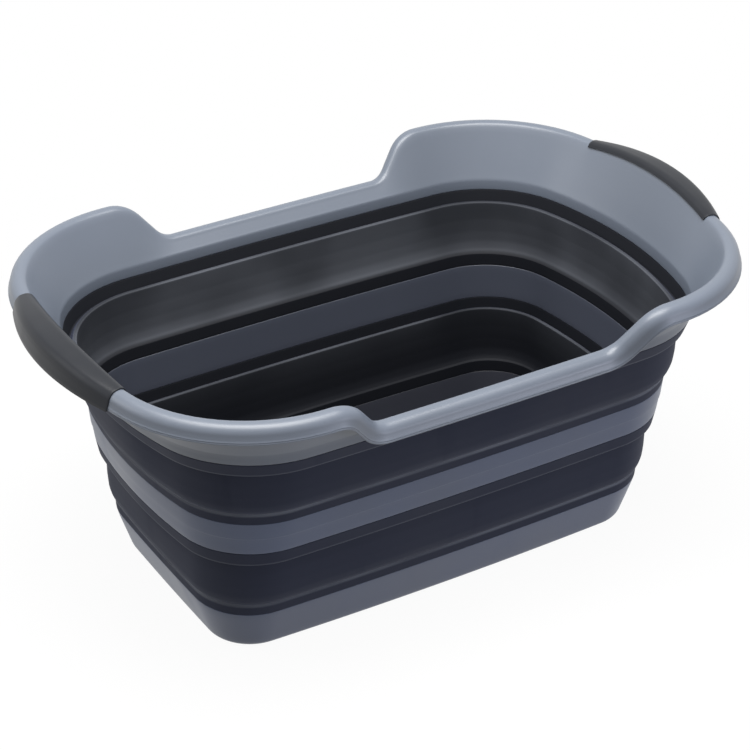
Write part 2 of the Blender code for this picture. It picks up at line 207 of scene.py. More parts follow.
@named
class TubSizes(bpy.types.PropertyGroup):
    """Sizes of the tub's walls and bands"""
    foot_half: length(0.104, "Half the flat foot's width across the tub")
    foot_round: length(0.0081, "Radius from the foot up into the base's wall")
    wall_foot_half: length(0.1115, "Half width where the base's wall starts")
    wall_foot_height: length(0.006, "Height where the base's wall starts")
    corner_radius: length(0.033, "Radius of the outline's corners at the foot")
    side_bow: length(0.005, "How far a long side bulges")
    foot_end_bow: length(0.0015, "How far an end bulges at the foot")
    collar_end_bow: length(0.041, "How far an end bulges from the collar up")
    straight_end: length(0.036, "Height where the ends start to bulge more")
    strip: length(0.011, "Height of the strip a band has over each rigid stage")
    lower_hinge_half: length(0.1236, "Half width at the lower band's hinge")
    lower_panel_half: length(0.131, "Half width of the lower band's panel")
    ring_skirt_half: length(0.137, "Half width at the foot of the ring's strip")
    ring_low_half: length(0.14, "Half width at the ring's lower edge")
    ring_seam_half: length(0.1428, "Half width just below the ring's parting line")
    ring_top_half: length(0.1455, "Half width at the ring's upper edge")
    upper_hinge_half: length(0.1475, "Half width at the upper band's hinge")
    upper_panel_half: length(0.1555, "Half width of the upper band's panel")
    collar_skirt_half: length(0.162, "Half width at the foot of the collar's strip")
    collar_low_half: length(0.1669, "Half width at the collar's lower edge")
    collar_break_half: length(0.1684, "Half width where the collar starts to flare")
    collar_band: length(0.0095, "Height of the collar's upright band")
    collar_flare: length(0.037, "Height from the band's top to the lip's middle")
    lip_half: length(0.1924, "Half width at the lip's middle")
    rigid_wall: length(0.003, "Thickness of the three rigid stages")
    panel_wall: length(0.002, "Thickness of a band's panel")
    tongue_wall: length(0.001, "Thickness of the tongue inside a strip")
    tongue_height: length(0.0085, "Height of the tongue inside a strip")
    seam_step: length(0.0006, "How far the ring steps out at its parting line")
    edge_round: length(0.0006, "Radius of a rigid stage's exposed edge")
    soft_round: length(0.0012, "Radius of a soft band's edge")
    ridge_round: length(0.001, "Radius of the bead inside a band's ledge")
    ledge_rise: length(0.0028, "How far the bead inside a band stands above its ledge")
    groove_depth: length(0.0009, "Depth of the groove along a lower hinge")
    groove_height: length(0.002, "Height of the groove along a lower hinge")
    foot_rim: length(0.0125, "Width of the rim the tub stands on")
    floor_recess: length(0.0012, "How far the floor's underside is raised")
    floor_wall: length(0.003, "Thickness of the floor")
    floor_round: length(0.006, "Radius from the floor up into the wall")


@named
class LipSizes(bpy.types.PropertyGroup):
    """Sizes of the rolled lip, its step, its handles and its grips"""
    wall: length(0.0022, "Thickness of the lip")
    inner: length(0.006, "From the lip's middle to its inner edge")
    outer: length(0.0094, "From the lip's middle to its outer side")
    crown: length(0.0088, "From the lip's middle to its top")
    flange_drop: length(0.005, "How far the flange hangs below the lip's middle")
    flange_kick: length(0.001, "How far the flange's foot stands out")
    foot_line: length(0.0013, "Height of the fine line above the flange's foot")
    foot_line_depth: length(0.0003, "Depth of the fine line above the flange's foot")
    side_drop: length(0.0342, "How far the lip drops along the long sides")
    step_in: length(0.0142, "How far the lip moves in along the long sides")
    step_slope: angle(50.5, "Steepest slope of the lip's step")
    step_top: length(0.0255, "Radius of the step's upper bend")
    step_foot: length(0.028, "Radius of the step's lower bend")
    step_to_corner: length(0.0054, "From the corner's end to the step's start")
    shoulder: length(0.00045, "Width of the small ledge inside, under the flare")
    handle_rise: length(0.007, "How far the lip rises at the middle of an end")
    handle_swell: length(0.0078, "How far the lip's outer side swells in a handle")
    handle_drop: length(0.0055, "How far the flange hangs lower in a handle")
    grip_half: length(0.085, "Half the length of a soft grip")
    grip_wall: length(0.001, "Thickness of a soft grip")
    grip_hook: length(0.005, "How far a grip reaches up behind the flange")


@named
class TubLooks(bpy.types.PropertyGroup):
    """Colours and finishes of the plastics"""
    collar: colour((0.143, 0.167, 0.212), "Colour of the collar and lip")
    slate: colour((0.090, 0.118, 0.202), "Colour of the base and the middle ring")
    fold: colour((0.033, 0.038, 0.062), "Colour of the two soft bands")
    # Painted shade: the inside colours are darker and less blue than the outside ones, as the tub's inside
    # gets less light.
    tray_inside: colour((0.030, 0.032, 0.043), "Colour of the base inside, dulled by use")
    ring_inside: colour((0.064, 0.072, 0.098), "Colour of the ring inside, dulled by use")
    fold_inside: colour((0.0055, 0.0065, 0.0100), "Colour of the bands inside the tub")
    grip: colour((0.017, 0.019, 0.024), "Colour of the two soft grips")
    # Painted sheen: a lighter colour on the upper panels' inside, where the light falls on them.
    bloom: colour((0.086, 0.093, 0.110), "Colour of the bloom on a panel's inside")
    # Painted highlight lines along the bands' hinges, inner beads and skirt edges, where they catch the
    # light.
    crease: colour((0.24, 0.26, 0.31), "Colour of the bands' stretched crease lines")
    collar_rough: share(0.39, "Roughness of the collar")
    slate_rough: share(0.36, "Roughness of the base and the ring")
    fold_rough: share(0.68, "Roughness of the bands")
    crease_shine: share(0.28, "How much smoother the bands' crease lines are")
    grip_rough: share(0.38, "Roughness of the grips")
    waviness: length(0.00035, "How uneven the soft panels are")
    wave_size: share(16.0, "How many waves the unevenness has in a metre", high=500)
    wave_seed: IntProperty(default=7, description="Which unevenness the panels have")


@named
class StageLooks(bpy.types.PropertyGroup):
    """The camera and the studio light"""
    lens: FloatProperty(default=113.1, description="Focal length in millimetres")
    azimuth: angle(-30.96, "The camera's turn from the front towards the right end")
    elevation: angle(30.85, "How far the camera looks down")
    place: FloatVectorProperty(default=(-0.8861, -1.4716, 1.1763), subtype="XYZ",
                               description="Where the camera stands")
    white: share(1.0, "Brightness of the background")
    fill: share(0.16, "Brightness of the room's even light", high=10)
    key: share(61.0, "Power of the lamp overhead, in watts", high=1000)
    low: share(9.0, "Power of the low lamp at the right, in watts", high=1000)
    side: share(5.0, "Power of the lamp at the left, in watts", high=1000)
    floor_tone: share(0.14, "How much light the floor throws back at the tub")
    floor_lift: share(0.95, "How much of the floor's shadow is left out of the view")


def feed(tree, node, inputs):
    """Links fields and sockets to a node's inputs, by name or place, and sets plain values there."""
    for place, value in inputs.items():
        value = getattr(value, "socket", value)
        if isinstance(value, bpy.types.NodeSocket):
            tree.links.new(value, node.inputs[place])
        else:
            node.inputs[place].default_value = value


def add_node(tree, kind, inputs=None, **settings):
    """A new node with its settings made and its inputs fed."""
    node = tree.nodes.new(kind)
    for name, value in settings.items():
        setattr(node, name, value)
    feed(tree, node, inputs or {})
    return node


class Field:
    """A number in a node tree, reckoned with like a plain one."""

    def __init__(self, tree, socket):
        self.tree = tree
        self.socket = socket

    def math(self, operation, *others):
        """Another number, worked out from this one."""
        node = add_node(self.tree, "ShaderNodeMath", dict(enumerate((self, *others))), operation=operation)
        return Field(self.tree, node.outputs[0])

    def __add__(self, other):
        return self.math("ADD", other)

    def __mul__(self, other):
        return self.math("MULTIPLY", other)

    def __sub__(self, other):
        return self.math("SUBTRACT", other)

    def __truediv__(self, other):
        return self.math("DIVIDE", other)

    def __rsub__(self, other):
        return self.math("MULTIPLY", -1) + other

    __radd__ = __add__
    __rmul__ = __mul__

    def choose(self, yes, no):
        """One of two numbers, by whether this one is 1 or 0."""
        return (yes - no) * self + no

    def over(self, low, high):
        """This number's smooth way from 0 at a low value to 1 at a high one, held between them."""
        node = add_node(self.tree, "ShaderNodeMapRange", {"Value": self, "From Min": low, "From Max": high},
                        interpolation_type="SMOOTHSTEP")
        return Field(self.tree, node.outputs[0])


def new_group(name, kind, inputs, outputs):
    """A node tree with named sockets: the tree, its input fields by name and its output node."""
    tree = bpy.data.node_groups.new(name, kind)
    for label, socket, default in inputs:
        made = tree.interface.new_socket(label, in_out="INPUT", socket_type=f"NodeSocket{socket}")
        if default is not None:
            made.default_value = default
    for label, socket in outputs:
        tree.interface.new_socket(label, in_out="OUTPUT", socket_type=f"NodeSocket{socket}")
    entry = add_node(tree, "NodeGroupInput")
    fields = {label: Field(tree, entry.outputs[label]) for label, socket, default in inputs}
    return tree, fields, add_node(tree, "NodeGroupOutput")


def outline_corner(half_width, half_length, radius, side_radius, end_radius):
    """Centre of the corner arc that touches the side arc and the end arc, found in a few rounds.

    Works on plain numbers and on fields alike.
    """
    side_left = side_radius - radius
    end_left = end_radius - radius
    x = half_length - radius
    y = half_width - radius
    side_sag = end_sag = x * 0
    for _ in range(CORNER_ROUNDS):
        side_sag = (x * x + side_sag * side_sag) / (side_left * 2)
        y = half_width - radius - side_sag
        end_sag = (y * y + end_sag * end_sag) / (end_left * 2)
        x = half_length - radius - end_sag
    return x, y, end_left - end_sag, side_left - side_sag


def build_wall_tree(values):
    """Geometry nodes that carry a cross-section round the tub's family of outlines.

    Each point of the section is a half width (X) and a height (Z). The outline at that level is three
    arcs in each quarter: a bowed end, a corner and a bowed side. The values are those of its first wall.
    """
    kinds = {int: "Int", float: "Float"}
    inputs = [(label, kinds[type(value)], value) for label, value in values.items() if label != "Finish"]
    tree, size, out = new_group("tub_wall", "GeometryNodeTree", (
        ("Section", "Geometry", None), *inputs, ("Finish", "Material", None)), (("Wall", "Geometry"),))

    def node(kind, inputs=None, **settings):
        return Field(tree, add_node(tree, kind, inputs, **settings).outputs[0])

    end, corner, side = size["End Flats"], size["Corner Flats"], size["Side Flats"]
    quarter = end + corner + side
    section = size["Section"]
    turn = node("GeometryNodeCurvePrimitiveCircle", {"Resolution": quarter * 4})
    wall = node("GeometryNodeCurveToMesh", {"Curve": turn, "Profile Curve": section})
    places = node("GeometryNodeAttributeDomainSize", {"Geometry": section}, component="CURVE")

    index = node("GeometryNodeInputIndex")
    station = ((index + 0.5) / places).math("FLOOR")
    sample = node("GeometryNodeSampleIndex", {
        "Geometry": section, "Value": node("GeometryNodeInputPosition"), "Index": index - station * places,
    }, data_type="FLOAT_VECTOR", domain="POINT")
    split = add_node(tree, "ShaderNodeSeparateXYZ", {0: sample})
    half_width, height = (Field(tree, split.outputs[axis]) for axis in "XZ")

    which = ((station + 0.5) / quarter).math("FLOOR")
    along = station - which * quarter
    backwards = which - (which / 2).math("FLOOR") * 2
    along = backwards.choose(quarter - along, along)
    sign_x = 1 - (which - 1.5).math("ABSOLUTE").math("LESS_THAN", 1) * 2
    sign_y = 1 - which.math("GREATER_THAN", 1.5) * 2

    half_length = half_width + size["End Reach"]
    radius = size["Corner Radius"] + half_width - size["Foot Half Width"]
    straight, low_bow, side_bow = size["Straight End Height"], size["Foot End Bow"], size["Side Bow"]
    risen = (height - straight) / (size["Collar Height"] - straight)
    risen = risen.math("MAXIMUM", 0).math("MINIMUM", 1)
    bow = low_bow + (size["Collar End Bow"] - low_bow) * risen
    side_radius = (half_length * half_length + side_bow * side_bow) / (side_bow * 2)
    end_radius = (half_width * half_width + bow * bow) / (bow * 2)
    x, y, from_end, from_side = outline_corner(half_width, half_length, radius, side_radius, end_radius)
    end_turn = y.math("ARCTAN2", from_end)
    side_turn = from_side.math("ARCTAN2", x)
    past_end = along.math("GREATER_THAN", end)
    past_corner = along.math("GREATER_THAN", end + corner)

    def by_arc(at_end, at_corner, at_side):
        return past_corner.choose(at_side, past_end.choose(at_corner, at_end))

    bearing = by_arc(end_turn * (along / end),
                     end_turn + (side_turn - end_turn) * ((along - end) / corner),
                     side_turn + (math.pi / 2 - side_turn) * ((along - end - corner) / side))
    none = x * 0
    arc_radius = by_arc(end_radius, radius, side_radius)
    out_x, out_y = bearing.math("COSINE"), bearing.math("SINE")
    at_x = by_arc(half_length - end_radius, x, none) + arc_radius * out_x
    at_y = by_arc(none, y, half_width - side_radius) + arc_radius * out_y

    def placed(x_in_quarter, y_in_quarter):
        return node("ShaderNodeCombineXYZ",
                    {"X": x_in_quarter * sign_x, "Y": y_in_quarter * sign_y, "Z": height})

    noise = node("ShaderNodeTexNoise", {
        "Vector": placed(at_x, at_y), "Detail": 1, "Scale": size["Wave Count"], "W": size["Wave Seed"],
    }, noise_dimensions="4D")
    foot, top = size["Wave Foot"], size["Wave Top"]
    rows = height.over(foot, foot + WAVE_FADE) * (1 - height.over(top - WAVE_FADE, top))
    wave = (noise - 0.5) * 2 * size["Waviness"] * rows

    def line(edge, shape):
        rise, full, gone = shape
        return 1 - (height - edge - rise).math("ABSOLUTE").over(full, gone)

    # Marks for painted light: the painted sheen on the panels' inside high on the wall, and the painted
    # highlight lines at the hinge, the inner bead and the skirt's edge.
    on_panel = half_width.math("LESS_THAN", size["Panel Reach"])
    low, high = SHEEN_END
    bloom = height.over(foot, foot + SHEEN_START) * (1 - height.over(top + low, top + high))
    marks = {"panel": bloom * on_panel * height.over(*SHEEN_LEVELS), "crease": line(foot, CREASE_HIGHLIGHT),
             "bead": line(top, BEAD_HIGHLIGHT) * on_panel, "skirt": line(top, SKIRT_HIGHLIGHT)}
    for name, value in marks.items():
        wall = node("GeometryNodeStoreNamedAttribute", {"Geometry": wall, "Name": name, "Value": value},
                    data_type="FLOAT", domain="POINT")
    moved = placed(at_x + out_x * wave, at_y + out_y * wave)
    wall = node("GeometryNodeSetPosition", {"Geometry": wall, "Position": moved})
    wall = node("GeometryNodeRealizeInstances", {"Geometry": wall})
    wall = node("GeometryNodeSetMaterial", {"Geometry": wall, "Material": size["Finish"]})
    feed(tree, out, {"Wall": wall})
    return tree


def sweep_wall(name, section, closed, finish, waves=NO_WAVES):
    """A wall with the given cross-section, carried round the tub by the wall tree."""
    sizes, looks = bpy.context.scene.tub_sizes, bpy.context.scene.tub_looks
    curve = bpy.data.curves.new(name + "_section", "CURVE")
    curve.dimensions = "3D"
    spline = curve.splines.new("POLY")
    spline.points.add(len(section) - 1)
    for point, (half_width, height) in zip(spline.points, section):
        point.co = (half_width, 0, height, 1)
    spline.use_cyclic_u = closed
    guide = add_object(name + "_section", curve)
    values = {
        "End Flats": END_FLATS, "Corner Flats": CORNER_FLATS, "Side Flats": SIDE_FLATS,
        "Foot Half Width": sizes.foot_half, "Corner Radius": sizes.corner_radius,
        "End Reach": END_REACH, "Side Bow": sizes.side_bow, "Foot End Bow": sizes.foot_end_bow,
        "Collar End Bow": sizes.collar_end_bow, "Straight End Height": sizes.straight_end,
        "Collar Height": COLLAR_LOW, "Wave Count": looks.wave_size, "Wave Seed": float(looks.wave_seed),
        **dict(zip(("Waviness", "Wave Foot", "Wave Top", "Panel Reach"), waves)), "Finish": finish,
    }
    tree = bpy.data.node_groups.get("tub_wall") or build_wall_tree(values)
    modifier = guide.modifiers.new("wall", "NODES")
    modifier.node_group = tree
    for socket in tree.interface.items_tree:
        if socket.name in values:
            modifier[socket.identifier] = values[socket.name]
    seen = guide.evaluated_get(bpy.context.evaluated_depsgraph_get())
    mesh = bpy.data.meshes.new_from_object(seen)
    mesh.name = name
    bpy.data.objects.remove(guide)
    bpy.data.curves.remove(curve)
    stations = 4 * (END_FLATS + CORNER_FLATS + SIDE_FLATS)
    if len(mesh.vertices) != stations * len(section):
        raise RuntimeError(f"{name}: the wall has {len(mesh.vertices)} points")
    return add_piece(name, mesh, finish)


def add_object(name, data):
    """A named object in the scene, for a mesh, a curve, a lamp or a camera."""
    made = bpy.data.objects.new(name, data)
    bpy.context.scene.collection.objects.link(made)
    return made


def add_piece(name, mesh, finish):
    """A named object for a mesh, with its finish."""
    mesh.materials.clear()
    mesh.materials.append(finish)
    return add_object(name, mesh)


def new_mesh(name, work):
    """A mesh made from a bmesh, which is then freed."""
    mesh = bpy.data.meshes.new(name)
    work.to_mesh(mesh)
    work.free()
    return mesh


def close_up(piece):
    """Fills any open ends with flat faces, turns all faces outwards and smooths the shading.

    It also marks the points that face the tub's middle or face up.
    """
    work = bmesh.new()
    work.from_mesh(piece.data)
    rims = [edge for edge in work.edges if edge.is_boundary]
    if rims:
        caps = bmesh.ops.edgeloop_fill(work, edges=rims)["faces"]
        big = [cap for cap in caps if cap.calc_area() > FLOOR_AREA]
        if big:
            bmesh.ops.inset_individual(work, faces=big, thickness=FLOOR_BORDER)
    bmesh.ops.recalc_face_normals(work, faces=work.faces)
    if any(not edge.is_manifold for edge in work.edges):
        raise RuntimeError(f"{piece.name} isn't closed")
    work.normal_update()
    inward = work.verts.layers.float.new("inward")
    for point in work.verts:
        towards = -point.normal.xy.dot(point.co.xy.normalized()) / INWARD_TILT
        point[inward] = min(max(towards + point.normal.z, 0), 1)
    work.to_mesh(piece.data)
    work.free()
    piece.data.shade_smooth()
    piece.data.set_sharp_from_angle(angle=SHARP_ANGLE)


def rounded(corners, closed):
    """A cross-section with round corners, each given as half width, height and radius."""
    path = []
    for place, (across, height, radius) in enumerate(corners):
        here = Vector((across, height))
        if radius == 0 or not closed and place in (0, len(corners) - 1):
            path.append((across, height))
            continue
        back = Vector(corners[place - 1][:2]) - here
        on = Vector(corners[(place + 1) % len(corners)][:2]) - here
        half_angle = back.angle(on) / 2
        if half_angle > math.pi / 2 - BEND_FLAT / 4:
            path.append((across, height))
            continue
        reach = min(radius / math.tan(half_angle), back.length * BEND_SHARE, on.length * BEND_SHARE)
        bend = reach * math.tan(half_angle)
        centre = here + (back.normalized() + on.normalized()).normalized() * bend / math.sin(half_angle)
        first = here + back.normalized() * reach - centre
        last = here + on.normalized() * reach - centre
        turn = math.pi - 2 * half_angle
        flats = max(2, math.ceil(turn / BEND_FLAT))
        for flat in range(flats + 1):
            done = flat / flats
            spoke = first * math.sin(turn * (1 - done)) + last * math.sin(turn * done)
            path.append(tuple(centre + spoke / math.sin(turn)))
    return path


def divided(path, closed, longest):
    """The same path with extra points wherever two lie further apart than the longest row."""
    fine = []
    for first, last in zip(path, path[1:] + path[:1] if closed else path[1:]):
        pieces = max(1, math.ceil(math.dist(first, last) / longest))
        fine += [tuple(a + (b - a) * (piece / pieces) for a, b in zip(first, last))
                 for piece in range(pieces)]
    return fine if closed else [*fine, path[-1]]


def on_wall(wall, height, inset):
    """A point inset from an outer wall that is given as rising (half width, height) pairs."""
    for (low_half, low), (high_half, high) in zip(wall, wall[1:]):
        if height <= high:
            break
    done = (height - low) / (high - low)
    return low_half + (high_half - low_half) * done - inset, height


def with_radius(points, radius):
    """The same points, all with one corner radius."""
    return [(*point, radius) for point in points]


def tongue(wall, root, tip, clear=0):
    """The thin tongue inside a strip, from its outer root round to its inner one.

    With some clear room round it, this is the slot that holds the tongue.
    """
    sizes = bpy.context.scene.tub_sizes
    outer = (sizes.rigid_wall - sizes.tongue_wall) / 2 - clear
    inner = sizes.rigid_wall - outer
    return [on_wall(wall, *corner) for corner in ((root, outer), (tip, outer), (tip, inner), (root, inner))]


def stage_walls(sizes):
    """The outer walls of the base, the ring and the collar, as rising (half width, height) pairs."""
    seam = (RING_LOW + RING_TOP) / 2
    base = ((sizes.wall_foot_half, sizes.wall_foot_height), (BASE_TOP_HALF, BASE_TOP),
            (sizes.lower_hinge_half, BASE_TOP + sizes.strip))
    ring = ((sizes.ring_skirt_half, RING_LOW - sizes.strip - sizes.panel_wall),
            (sizes.ring_low_half, RING_LOW), (sizes.ring_seam_half, seam),
            (sizes.ring_seam_half + sizes.seam_step, seam + sizes.seam_step),
            (sizes.ring_top_half, RING_TOP), (sizes.upper_hinge_half, RING_TOP + sizes.strip))
    collar = ((sizes.collar_skirt_half, COLLAR_LOW - sizes.strip - sizes.panel_wall),
              (sizes.collar_low_half, COLLAR_LOW),
              (sizes.collar_break_half, COLLAR_LOW + sizes.collar_band))
    return base, ring, collar


def noise_field(tree, place, scale, detail, stretch=None):
    """A noise between 0 and 1 at a place, finer with a larger scale."""
    if stretch:
        place = add_node(tree, "ShaderNodeMapping", {"Vector": place, "Scale": stretch}).outputs[0]
    noise = add_node(tree, "ShaderNodeTexNoise", {"Vector": place, "Scale": scale, "Detail": detail})
    return Field(tree, noise.outputs[0])


def build_moulded_grain():
    """Shader group: the fine skin of a moulded surface and its broad, soft unevenness."""
    tree, size, out = new_group("moulded_grain", "ShaderNodeTree", (
        ("Place", "Vector", None), ("Grain Count", "Float", 330.0), ("Patch Count", "Float", 9.0),
    ), (("Grain", "Float"), ("Patches", "Float"), ("Scuffs", "Float")))
    place, count = size["Place"], size["Patch Count"]
    streaks = noise_field(tree, place, count * SCUFF_FINENESS, detail=4.0, stretch=SCUFF_STRETCH)
    feed(tree, out, {"Grain": noise_field(tree, place, size["Grain Count"], detail=3.0),
                     "Patches": noise_field(tree, place, count, detail=2.0).over(*PATCH_RANGE),
                     "Scuffs": streaks.over(*SCUFF_RANGE)})
    return tree


def build_settled_dust():
    """Shader group: a mask of fine dust, thickest where the surface faces up."""
    tree, size, out = new_group("settled_dust", "ShaderNodeTree", (
        ("Place", "Vector", None), ("Dust Count", "Float", 60.0), ("Amount", "Float", 0.5),
    ), (("Dust", "Float"),))
    normal = add_node(tree, "ShaderNodeNewGeometry").outputs["Normal"]
    split = add_node(tree, "ShaderNodeSeparateXYZ", {0: normal})
    upward = Field(tree, split.outputs["Z"]).over(*UPWARD_RANGE)
    specks = noise_field(tree, size["Place"], size["Dust Count"], detail=5.0).over(*SPECK_RANGE)
    feed(tree, out, {"Dust": upward * specks * size["Amount"]})
    return tree


def mixed(tree, share_of, first, last):
    """A colour between two others; each is a colour or a socket."""
    first, last = (tone if isinstance(tone, bpy.types.NodeSocket) else (*tone, 1) for tone in (first, last))
    mix = add_node(tree, "ShaderNodeMix", {"Factor": share_of, "A": first, "B": last}, data_type="RGBA")
    return mix.outputs["Result"]


def mark(tree, name):
    """A mark from 0 to 1 that is stored on the piece's points."""
    return Field(tree, add_node(tree, "ShaderNodeAttribute", attribute_name=name).outputs["Fac"])


def plastic(name, tint, inside, roughness, specular, grain, uneven, dust, soft=False):
    """A moulded plastic: grained, softly uneven in gloss and tone, and a little dusty on top.

    On the side that faces the tub's middle it takes the inside colour, painted shade where that is darker
    than the tint. A soft one also has painted sheen on its panels' inside and painted highlight lines along
    its hinges, inner beads and skirts.
    """
    finish = bpy.data.materials.get(name)
    if finish:
        return finish
    finish = bpy.data.materials.new(name)
    finish.use_nodes = True
    tree = finish.node_tree
    place = add_node(tree, "ShaderNodeTexCoord").outputs["Object"]
    groups = bpy.data.node_groups
    skin = add_node(tree, "ShaderNodeGroup", node_tree=groups.get("moulded_grain") or build_moulded_grain())
    settled = add_node(tree, "ShaderNodeGroup", node_tree=groups.get("settled_dust") or build_settled_dust())
    feed(tree, skin, {"Place": place})
    feed(tree, settled, {"Place": place, "Amount": dust})
    patches, scuffs = (Field(tree, skin.outputs[mask]) for mask in ("Patches", "Scuffs"))
    dusty = Field(tree, settled.outputs["Dust"])
    inward = mark(tree, "inward")
    tone = mixed(tree, patches, *([value * part for value in tint] for part in TONE_SHARES))
    # Painted shade: the side that faces the tub's middle takes the darker inside colour.
    tone = mixed(tree, inward, tone, inside)
    rough = (patches - 0.5) * uneven + scuffs * (uneven * SCUFF_SHARE) + dusty * DUST_SHARE + roughness
    if soft:
        looks = bpy.context.scene.tub_looks
        outward = 1 - inward
        # Painted sheen and painted highlight lines, each partly following the uneven patches.
        bloom, crease, bead = (patches * varied + steady
                               for varied, steady in (SHEEN_SHARES, CREASE_HIGHLIGHT_SHARES, BEAD_HIGHLIGHT_SHARES))
        lines = (mark(tree, "crease") * outward * crease + mark(tree, "bead") * bead
                 + mark(tree, "skirt") * outward * SKIRT_HIGHLIGHT_SHARE)
        # The painted sheen lightens the panels' inside high on the wall; the painted highlights lighten the
        # lines and make them glossier.
        tone = mixed(tree, mark(tree, "panel") * bloom * inward, tone, looks.bloom)
        tone = mixed(tree, lines, tone, looks.crease)
        rough = rough - lines * looks.crease_shine
    bump = add_node(tree, "ShaderNodeBump", {"Distance": grain, "Height": skin.outputs["Grain"]})
    feed(tree, tree.nodes["Principled BSDF"], {
        "Base Color": mixed(tree, dusty, tone, DUST), "Metallic": 0, "Roughness": rough,
        "Specular IOR Level": specular, "Normal": bump.outputs["Normal"]})
    return finish


def collar_plastic():
    """Semi-gloss blue-grey plastic of the collar and the lip."""
    looks = bpy.context.scene.tub_looks
    return plastic("collar_plastic", looks.collar, looks.collar, looks.collar_rough,
                   specular=0.68, grain=0.00001, uneven=0.05, dust=0.01)


def slate_plastic(name, inside):
    """Semi-gloss dark slate plastic of the base and the ring."""
    looks = bpy.context.scene.tub_looks
    return plastic(name, looks.slate, inside, looks.slate_rough,
                   specular=0.55, grain=0.000015, uneven=0.06, dust=0.005)


def band_rubber():
    """Satin near-black soft plastic of the folding bands."""
    looks = bpy.context.scene.tub_looks
    return plastic("band_rubber", looks.fold, looks.fold_inside, looks.fold_rough,
                   specular=0.2, grain=0.00002, uneven=0.08, dust=0.002, soft=True)


def grip_rubber():
    """Matt charcoal soft plastic of the grips."""
    looks = bpy.context.scene.tub_looks
    return plastic("grip_rubber", looks.grip, looks.grip, looks.grip_rough,
                   specular=0.22, grain=0.00003, uneven=0.05, dust=0.005)


class TUB_OT_base_tray(bpy.types.Operator):
    """Build the rigid base tray with its flat floor and rounded foot"""
    bl_idname = "tub.base_tray"
    bl_label = "Base Tray"

    def execute(self, context):
        sizes = context.scene.tub_sizes
        wall = stage_walls(sizes)[0]
        foot_inner = sizes.foot_half - sizes.foot_rim
        floor_top = sizes.floor_recess + sizes.floor_wall
        (low_half, low), (high_half, high) = wall[:2]
        slope = (high_half - low_half) / (high - low)
        foot_corner = low_half - slope * low
        inner_corner = low_half + slope * (floor_top - low) - sizes.rigid_wall
        section = rounded([
            (foot_inner - sizes.floor_recess, sizes.floor_recess, 0),
            (foot_inner, 0, sizes.edge_round),
            (foot_corner, 0, sizes.foot_round),
            (*on_wall(wall, BASE_TOP, 0), sizes.edge_round / 2),
            *with_radius(tongue(wall, BASE_TOP, BASE_TOP + sizes.tongue_height), 0),
            (*on_wall(wall, BASE_TOP, sizes.rigid_wall), sizes.edge_round / 2),
            (inner_corner, floor_top, sizes.floor_round),
            (inner_corner - 2 * sizes.floor_round, floor_top, 0),
        ], False)
        finish = slate_plastic("tray_plastic", context.scene.tub_looks.tray_inside)
        tray = sweep_wall("tray_shell", divided(section, False, WALL_ROW), False, finish)
        close_up(tray)
        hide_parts("base_tray")
        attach(tray, "base")
        return {"FINISHED"}


class TUB_OT_middle_ring(bpy.types.Operator):
    """Build the rigid ring between the two bands, with its parting line"""
    bl_idname = "tub.middle_ring"
    bl_label = "Middle Ring"

    def execute(self, context):
        sizes = context.scene.tub_sizes
        wall = stage_walls(sizes)[1]
        seam = wall[2][1]
        section = rounded([
            (*on_wall(wall, RING_LOW, 0), sizes.edge_round),
            (*wall[2], sizes.seam_step / 4),
            (*wall[3], sizes.seam_step / 4),
            (*on_wall(wall, RING_TOP, 0), sizes.edge_round),
            *with_radius(tongue(wall, RING_TOP, RING_TOP + sizes.tongue_height), 0),
            (*on_wall(wall, RING_TOP, sizes.rigid_wall), sizes.edge_round),
            (*on_wall(wall, seam, sizes.rigid_wall), sizes.foot_round),
            (*on_wall(wall, RING_LOW, sizes.rigid_wall), sizes.edge_round),
            *with_radius(reversed(tongue(wall, RING_LOW, RING_LOW - sizes.tongue_height)), 0),
        ], True)
        finish = slate_plastic("ring_plastic", context.scene.tub_looks.ring_inside)
        ring = sweep_wall("ring_shell", divided(section, True, WALL_ROW), True, finish)
        close_up(ring)
        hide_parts("middle_ring")
        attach(ring, "middle")
        return {"FINISHED"}


